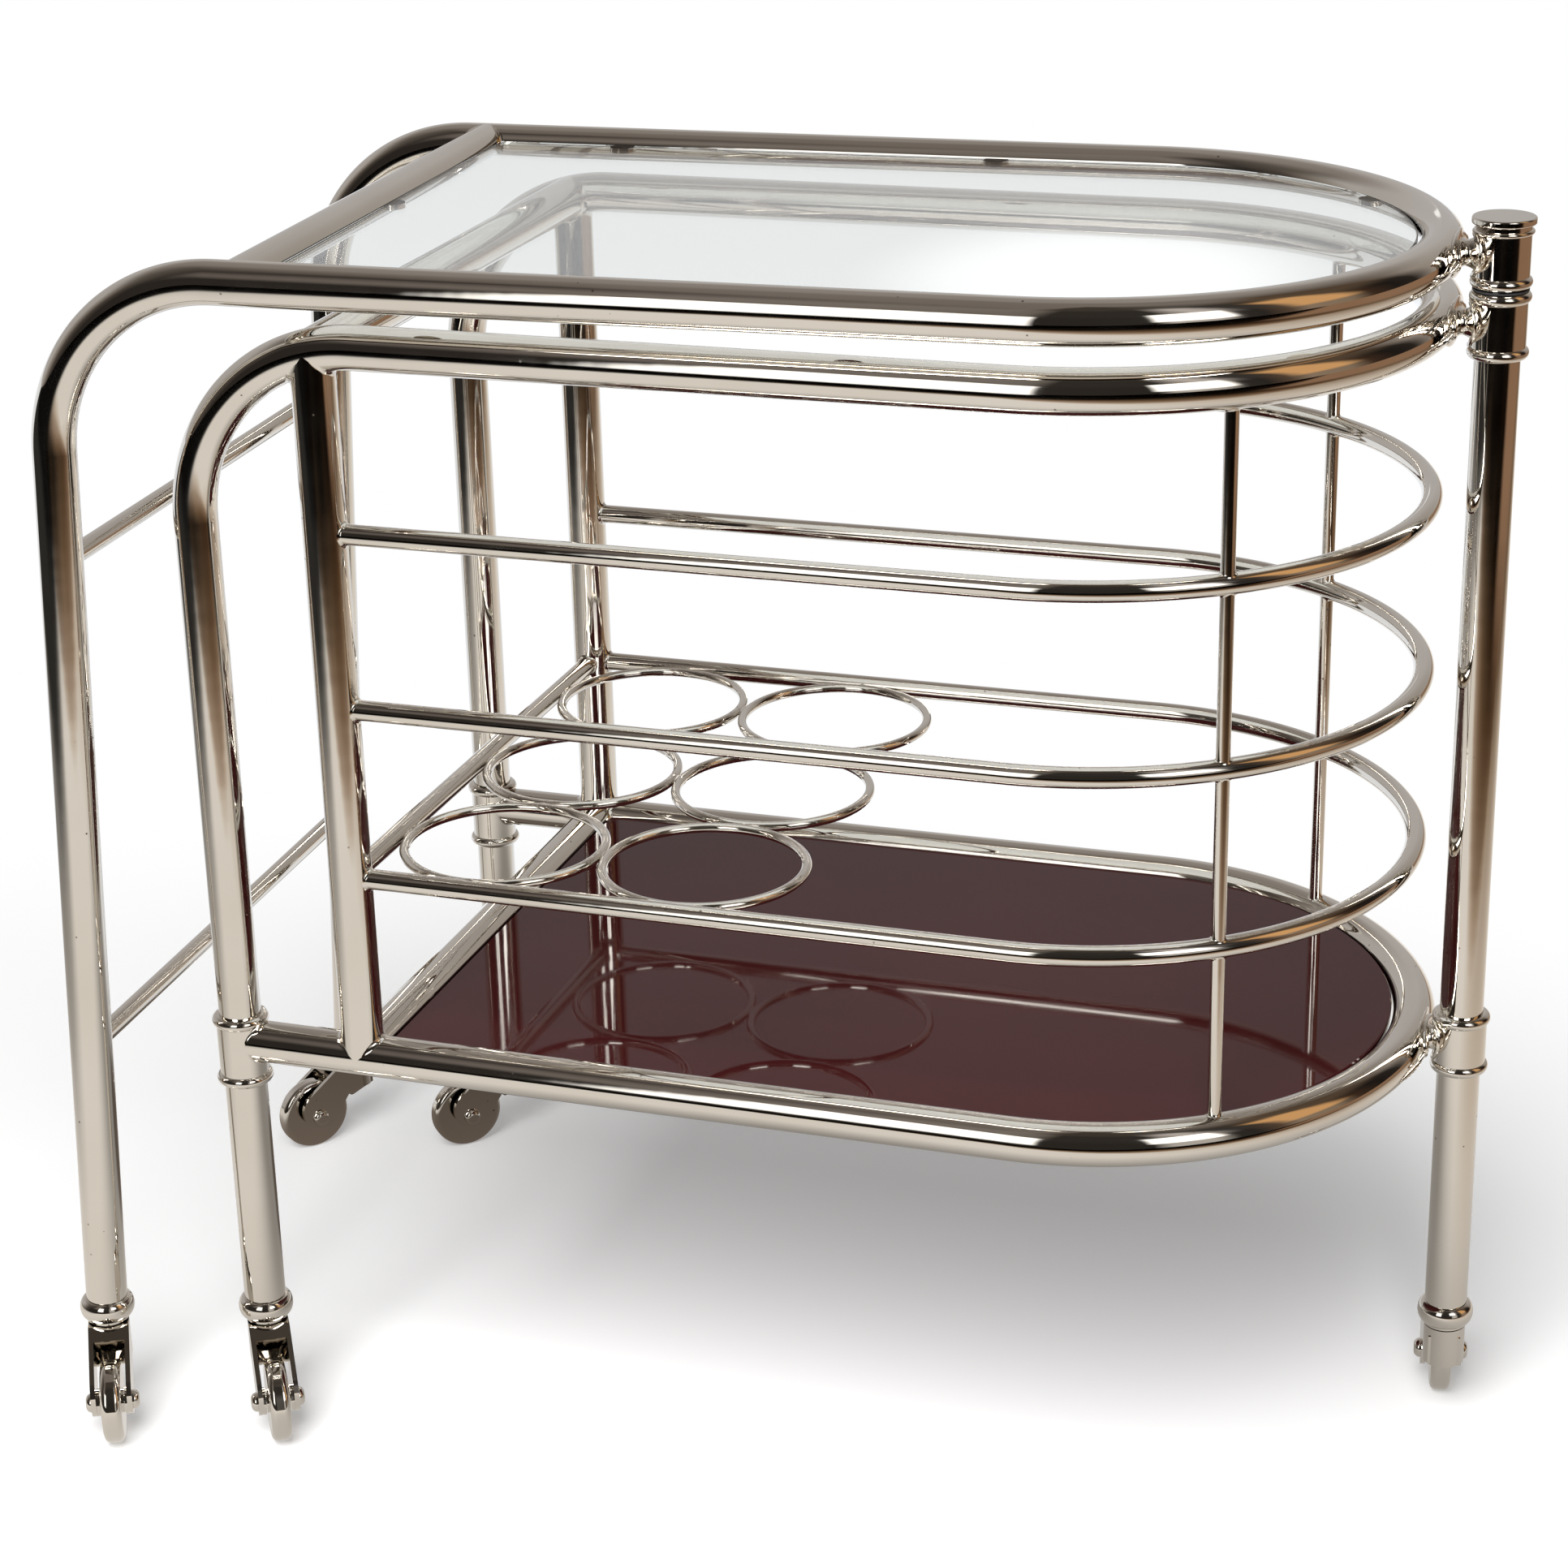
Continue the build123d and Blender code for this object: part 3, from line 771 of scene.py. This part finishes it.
upright_bars = both(lambda y: round_bar(
    lower(-upright_reach, y, base_height), lower(-upright_reach, y, deck_cross_height), tube_radius
))
base_bars = both(lambda y: round_bar(
    lower(-inner_leg_reach, y, base_height), lower(base_round_x, y, base_height), tube_radius
))
leg_bends = both(lambda y: round_ring(
    lower(bend_centre_x, y, deck_height - bend_radius), over, bend_radius, tube_radius
))
leg_sleeves = both(lambda y: round_bar(
    lower(-inner_leg_reach, y, leg_end), lower(-inner_leg_reach, y, deck_height), leg_sleeve_radius
))
top_bars = both(lambda y: round_bar(
    upper(-outer_leg_reach, y, top_height), upper(round_x, y, top_height), tube_radius
))
outer_legs = both(lambda y: round_bar(
    upper(-outer_leg_reach, y, top_height), upper(-crossbar_reach(leg_end), y, leg_end), tube_radius
))


def cross_solid(height):
    ends = [lower(-upright_reach, side * half_width, height) for side in sides.values()]
    return round_bar(*ends, tube_radius)


lower_cross = cross_solid(deck_cross_height)
bottom_cross = cross_solid(base_height)
base_end = round_ring(lower(base_round_x, 0, base_height), upward, half_width, tube_radius)
deck_end = round_ring(lower(round_x, 0, deck_height), upward, half_width, tube_radius)
rail_ends = {
    name: round_ring(lower(round_x, 0, height), upward, half_width, rail_radius)
    for name, height in rail_heights.items()
}


def make_bars():
    foot = below(leg_end)
    for name, side in sides.items():
        route = leg_route(lower, square, side, inner_leg_reach, deck_height, 0.0)
        tube(f"{name}_inner_leg_tube", "base_frame", f"lower_{name}_leg", route, None, foot)
        route = leg_route(upper, swing_turn, side, outer_leg_reach, top_height, leg_splay)
        tube(f"{name}_outer_leg_tube", "swing_frame", f"upper_{name}_leg", route, None, foot)
        route = Route(lower(-upright_reach, side * half_width, base_height), upward, over)
        route.run(deck_cross_height - base_height)
        ends = base_bars[name], leg_bends[name]
        tube(f"{name}_upright_tube", "base_frame", f"{name}_upright", route, *ends)
        route = Route(lower(spindle_x, side * spindle_y, base_height), upward, over)
        route.run(deck_height - base_height)
        ends = base_end, deck_end
        rod(f"{name}_spindle_bar", "base_frame", f"{name}_spindle", route, spindle_radius, *ends)
    tube("lower_end_tube", "base_frame", "lower_round_end", end_route(lower, square, deck_height))
    tube("upper_end_tube", "swing_frame", "upper_round_end", end_route(upper, swing_turn, top_height))
    route = hoop_route(inner_leg_reach, base_round_x, base_height)
    tube("bottom_hoop_tube", "base_frame", "bottom_hoop", route, *leg_sleeves.values())

    uprights = upright_bars.values()
    for name, height in rail_heights.items():
        route = hoop_route(upright_reach, round_x, height)
        rod(f"{name}_rail_bar", "base_frame", f"{name}_gallery_rail", route, rail_radius, *uprights)
    route = cross_route(lower, square, upright_reach, rail_heights["low"])
    rod("rack_cross_bar", "base_frame", "rack_cross_rod", route, rail_radius, *uprights)
    route = cross_route(lower, square, upright_reach, deck_cross_height)
    ends = [either(leg_bends[name], upright_bars[name]) for name in sides]
    tube("lower_cross_bar", "base_frame", "lower_cross_tube", route, *ends)
    route = cross_route(lower, square, upright_reach, base_height)
    ends = [either(base_bars[name], upright_bars[name]) for name in sides]
    tube("bottom_cross_bar", "base_frame", "bottom_cross_tube", route, *ends)
    route = cross_route(upper, swing_turn, top_cross_reach, top_height)
    tube("upper_cross_bar", "swing_frame", "upper_cross_tube", route, *top_bars.values())
    for name, height in crossbar_heights.items():
        route = cross_route(upper, swing_turn, crossbar_reach(height), height)
        ends = outer_legs.values()
        rod(f"{name}_leg_cross_bar", "swing_frame", f"{name}_leg_crossbar", route, rail_radius, *ends)


# Welds: fillets and beads, a little uneven. Each waviness has a share and a number of waves to a turn
fillet_sides = 64
fillet_rows = 7
fillet_wave, fillet_waves = 0.10, 5
fillet_ripple, fillet_ripples = 0.07, 11
ripple_shift = 2.3
fullness = 0.16
fullness_wave, fullness_waves = 0.10, 17
fillet_root = 0.0012
toe_rounds = 3
parallel = 1e-4
large_fillet = 0.0036
small_fillet = 0.0024
fine_fillet = 0.0018
bead_sides = 12
bead_ripple = 0.10
bead_ripple_length = 0.0045
bead_tip = 0.02
neck_half_width = 0.0185
neck_half_height = 0.009
sleeve_half_width = 0.0103
sleeve_half_height = 0.0125
neck_bead = 0.0019
sleeve_bead = 0.0016
neck_bead_steps = 64
trail_steps = 24
trail_start = -0.001
trail_fall = 0.002
upper_trail = 0.036
lower_trail = 0.060
ring_weld_half = 0.0062
ring_weld_radius = 0.0024
ring_weld_steps = 16


def fillets(name, body, joints):
    """Polished fillets round the ends of bars. Each joint has a point on the bar's axis, the way along
    the bar, its radius, the solid it stands on and the fillet's size."""
    points, faces, normals = [], [], []
    for number, (start, way, radius, solid, size) in enumerate(joints):
        way = way.normalized()
        side = way.orthogonal().normalized()
        across = way.cross(side)
        first = len(points)
        outs = []
        for j in range(fillet_sides):
            turn = 2 * pi * j / fillet_sides
            out = side * cos(turn) + across * sin(turn)
            corner = trimmed(start + out * radius, way, solid)
            stand = solid(corner)[1]
            wave = fillet_wave * sin(fillet_waves * turn + number)
            ripple = fillet_ripple * sin(fillet_ripples * turn + ripple_shift * number)
            width = size * (1 + wave + ripple)
            width *= sqrt(max(0.0, 1 - out.dot(stand) ** 2))
            seam = out.cross(stand)
            seam = seam.normalized() if seam.length > parallel else way.cross(out)
            up_bar = seam.cross(out)
            up_bar *= 1 if up_bar.dot(stand) > 0 else -1
            off_bar = seam.cross(stand)
            off_bar *= 1 if off_bar.dot(out) > 0 else -1
            top = corner + up_bar * width
            reach = top - start
            top -= out * ((reach - way * reach.dot(way)).length - radius + sunk)
            toe = corner + off_bar * width
            for _ in range(toe_rounds):
                away, leave = solid(toe)
                toe -= leave * (away + sunk)
            full = fullness + fullness_wave * sin(fullness_waves * turn + number)
            pull = corner.lerp((top + toe) / 2, full)
            for row in range(fillet_rows):
                t = row / (fillet_rows - 1)
                points.append(top * (1 - t) ** 2 + pull * (2 * t * (1 - t)) + toe * t**2)
                outs.append((out * (1 - t) + stand * t).normalized())
            points.append(corner - (out + stand) * fillet_root)
            outs.append(-(out + stand).normalized())
        rows = fillet_rows + 1
        for j in range(fillet_sides):
            k = (j + 1) % fillet_sides
            for row in range(rows):
                below_row = (row + 1) % rows
                spots = [(j, row), (j, below_row), (k, below_row), (k, row)]
                faces.append([first + a * rows + b for a, b in spots])
                normals.extend(outs[a * rows + b] for a, b in spots)
    piece(name, body, points, faces, normals)


def make_fillets():
    uprights, crossings, rails, spindles, outer = [], [], [], [], []
    for name, side in sides.items():
        y = side * half_width
        inward = over * -side
        upright = upright_bars[name]
        foot = either(base_bars[name], bottom_cross)
        head = either(leg_bends[name], lower_cross)
        uprights.append((lower(-upright_reach, y, base_height), upward, tube_radius, foot, large_fillet))
        top = lower(-upright_reach, y, deck_cross_height)
        uprights.append((top, -upward, tube_radius, head, large_fillet))
        for height, hoop in ((base_height, base_bars[name]), (deck_cross_height, leg_bends[name])):
            middle = lower(-upright_reach, y, height)
            crossings.append((middle, inward, tube_radius, either(hoop, upright), large_fillet))
        middle = lower(-inner_leg_reach, y, base_height)
        crossings.append((middle, along, tube_radius, leg_sleeves[name], small_fillet))
        for height in rail_heights.values():
            rails.append((lower(-upright_reach, y, height), along, rail_radius, upright, small_fillet))
        middle = lower(-upright_reach, y, rail_heights["low"])
        rails.append((middle, inward, rail_radius, upright, small_fillet))
        ends = ((base_height, upward, base_end), (deck_height, -upward, deck_end))
        crossed = [
            (height, way, rail_ends[rail])
            for rail, height in rail_heights.items()
            for way in (upward, -upward)
        ]
        for height, way, solid in (*ends, *crossed):
            middle = lower(spindle_x, side * spindle_y, height)
            spindles.append((middle, way, spindle_radius, solid, fine_fillet))
        inward = swing_turn @ inward
        middle = upper(-top_cross_reach, y, top_height)
        outer.append((middle, inward, tube_radius, top_bars[name], large_fillet))
        for height in crossbar_heights.values():
            middle = upper(-crossbar_reach(height), y, height)
            outer.append((middle, inward, rail_radius, outer_legs[name], small_fillet))
    fillets("upright_welds", "base_frame", uprights)
    fillets("cross_tube_welds", "base_frame", crossings)
    fillets("rail_welds", "base_frame", rails)
    fillets("spindle_welds", "base_frame", spindles)
    fillets("upper_frame_welds", "swing_frame", outer)


def beads(name, body, facing, paths):
    """Weld beads, each with a path, a radius and whether it closes on itself. An open one tapers to
    its ends."""
    points, faces, normals = [], [], []
    for number, (path, radius, closed) in enumerate(paths):
        first = len(points)
        count = len(path)
        run = 0.0
        outs = []
        for i, middle in enumerate(path):
            before = path[i - 1] if closed or i else middle
            after = path[(i + 1) % count] if closed or i < count - 1 else middle
            way = (after - before).normalized()
            side = (facing - way * facing.dot(way)).normalized()
            across = way.cross(side)
            run += (middle - path[i - 1]).length if i else 0.0
            size = radius * (1 + bead_ripple * sin(2 * pi * run / bead_ripple_length + number))
            if not closed:
                size *= sqrt(max(bead_tip, 1 - (2 * i / (count - 1) - 1) ** 2))
            for j in range(bead_sides):
                turn = 2 * pi * j / bead_sides
                out = side * cos(turn) + across * sin(turn)
                points.append(middle + out * size)
                outs.append(out)
        for i in range(count if closed else count - 1):
            for j in range(bead_sides):
                k = (j + 1) % bead_sides
                spots = [(i, j), (i, k), ((i + 1) % count, k), ((i + 1) % count, j)]
                faces.append([first + a * bead_sides + b for a, b in spots])
                normals.extend(outs[a * bead_sides + b] for a, b in spots)
    piece(name, body, points, faces, normals)


def neck_paths(place, end_x, height, tail):
    """Round both ends of a pivot neck, and along the hoop in front of it."""
    def on_hoop(y, z):
        reach = half_width + sqrt(tube_radius**2 - z**2)
        return place(end_x + sqrt(reach**2 - y**2), y, height + z)

    def on_sleeve(y, z):
        return place(-sqrt(post_sleeve_radius**2 - y**2), y, height + z)

    turns = [2 * pi * i / neck_bead_steps for i in range(neck_bead_steps)]
    root = [on_hoop(neck_half_width * cos(turn), neck_half_height * sin(turn)) for turn in turns]
    head = [on_sleeve(sleeve_half_width * cos(turn), sleeve_half_height * sin(turn)) for turn in turns]
    trail = []
    for i in range(trail_steps + 1):
        step = i / trail_steps
        y = -neck_half_width - (tail - neck_half_width) * step
        trail.append(on_hoop(y, trail_start - trail_fall * step))
    return [(root, neck_bead, True), (head, sleeve_bead, True), (trail, neck_bead, False)]


def make_beads():
    necks = (
        ("upper", "swing_frame", swing_turn @ along, upper, round_x, top_height, upper_trail),
        ("lower", "base_frame", along, lower, round_x, deck_height, lower_trail),
        ("bottom", "base_frame", along, lower, base_round_x, base_height, lower_trail),
    )
    for name, body, facing, *neck in necks:
        beads(f"{name}_neck_welds", body, facing, neck_paths(*neck))

    half = ring_pitch / 2
    columns = (first_ring_x, first_ring_x + ring_pitch)
    rows = (-ring_pitch, 0.0, ring_pitch)
    touches = [(first_ring_x + shift, y, over) for shift in (-half, half) for y in rows]
    touches += [(x, y, along) for x in columns for y in (-3 * half, -half, half, 3 * half)]
    paths = []
    for x, y, way in touches:
        middle = lower(x, y, rail_heights["low"])
        shares = [2 * i / ring_weld_steps - 1 for i in range(ring_weld_steps + 1)]
        path = [middle + way * (ring_weld_half * share) for share in shares]
        paths.append((path, ring_weld_radius, False))
    beads("ring_welds", "base_frame", upward, paths)


# Caster forks: the solid neck between each fork's cheeks, dished where it faces the wheel
fork_front = 0.0105
fork_back = -0.0097
fork_dish = 0.0016
fork_half = 0.0096
fork_top = 0.0595
fork_low_front = 0.0345
fork_low_back = 0.0408
fork_corner = 0.0035
fork_columns = 16
fork_corner_steps = 6


def fork_neck(name, swivel, axle):
    """Fills one fork, from the places of its swivel and its axle."""
    ahead = Vector((axle.x - swivel.x, axle.y - swivel.y, 0)).normalized()
    aside = upward.cross(ahead)
    foot = Vector((swivel.x, swivel.y, 0))
    points, faces, normals = [], [], []

    # The outline in the plane of the wheel, as points with the way out of the face before and after each
    middle = Vector((fork_front - fork_corner, 0, fork_low_front + fork_corner))
    slope = Vector((fork_low_front - fork_low_back, 0, fork_back - middle.x)).normalized()
    outline = [(Vector((fork_front, 0, fork_top)), upward, along)]
    for step in range(fork_corner_steps + 1):
        turn = pi / 2 * step / fork_corner_steps
        out = along * cos(turn) - upward * sin(turn)
        outline.append((middle + out * fork_corner, out, out))
    outline[-1] = (outline[-1][0], outline[-1][1], slope)
    outline.append((Vector((fork_back, 0, fork_low_back)), slope, -along))
    outline.append((Vector((fork_back, 0, fork_top)), -along, upward))

    rows = len(outline)
    outs = []
    for column in range(fork_columns + 1):
        y = fork_half * (2 * column / fork_columns - 1)
        dish = fork_dish * (1 - (y / fork_half) ** 2)
        lean = Vector((1, -2 * fork_dish * y / fork_half**2, 0)).normalized()
        for spot, before, after in outline:
            x = spot.x - dish * max(0.0, spot.x) / fork_front
            points.append(foot + ahead * x + aside * y + upward * spot.z)
            for out in (before, after):
                turned = lean * out.x if out.x > 0 else along * out.x
                outs.append((ahead * turned.x + aside * turned.y + upward * out.z).normalized())
    for column in range(fork_columns):
        for row in range(rows):
            after = (row + 1) % rows
            here, there = column * rows, (column + 1) * rows
            spots = [(here + row, 1), (here + after, 0), (there + after, 0), (there + row, 1)]
            faces.append([spot for spot, _ in spots])
            normals.extend(outs[2 * spot + side] for spot, side in spots)
    for column, way in ((0, -aside), (fork_columns, aside)):
        rim = [column * rows + row for row in range(rows)]
        faces.append(rim if column else rim[::-1])
        normals.extend([way] * rows)
    piece(f"{name}_fork_neck", f"{name}_fork", points, faces, normals, flat=2)


def make_fork_necks():
    places = {joint["name"]: Vector(joint["pos_m"]) for joint in frame["record"]["behaviour"]["joints"]}
    for joint, place in places.items():
        if joint.endswith("_swivel"):
            name = joint.removesuffix("_swivel")
            fork_neck(name, place, places[f"{name}_roll"])


make_camera()
make_floor()
make_world()
make_lights()
finish_of = {
    "polished_nickel": polished_nickel(),
    "clear_glass": clear_glass(),
    "dark_red_panel": dark_red_panel(),
    "bearing_plastic": bearing_plastic(),
}
for part in frame["record"]["subparts"]:
    mesh = nodes[part["node"]].data
    mesh.materials.clear()
    mesh.materials.append(finish_of[part["material_slot"]])
make_bars()
make_fillets()
make_beads()
make_fork_necks()
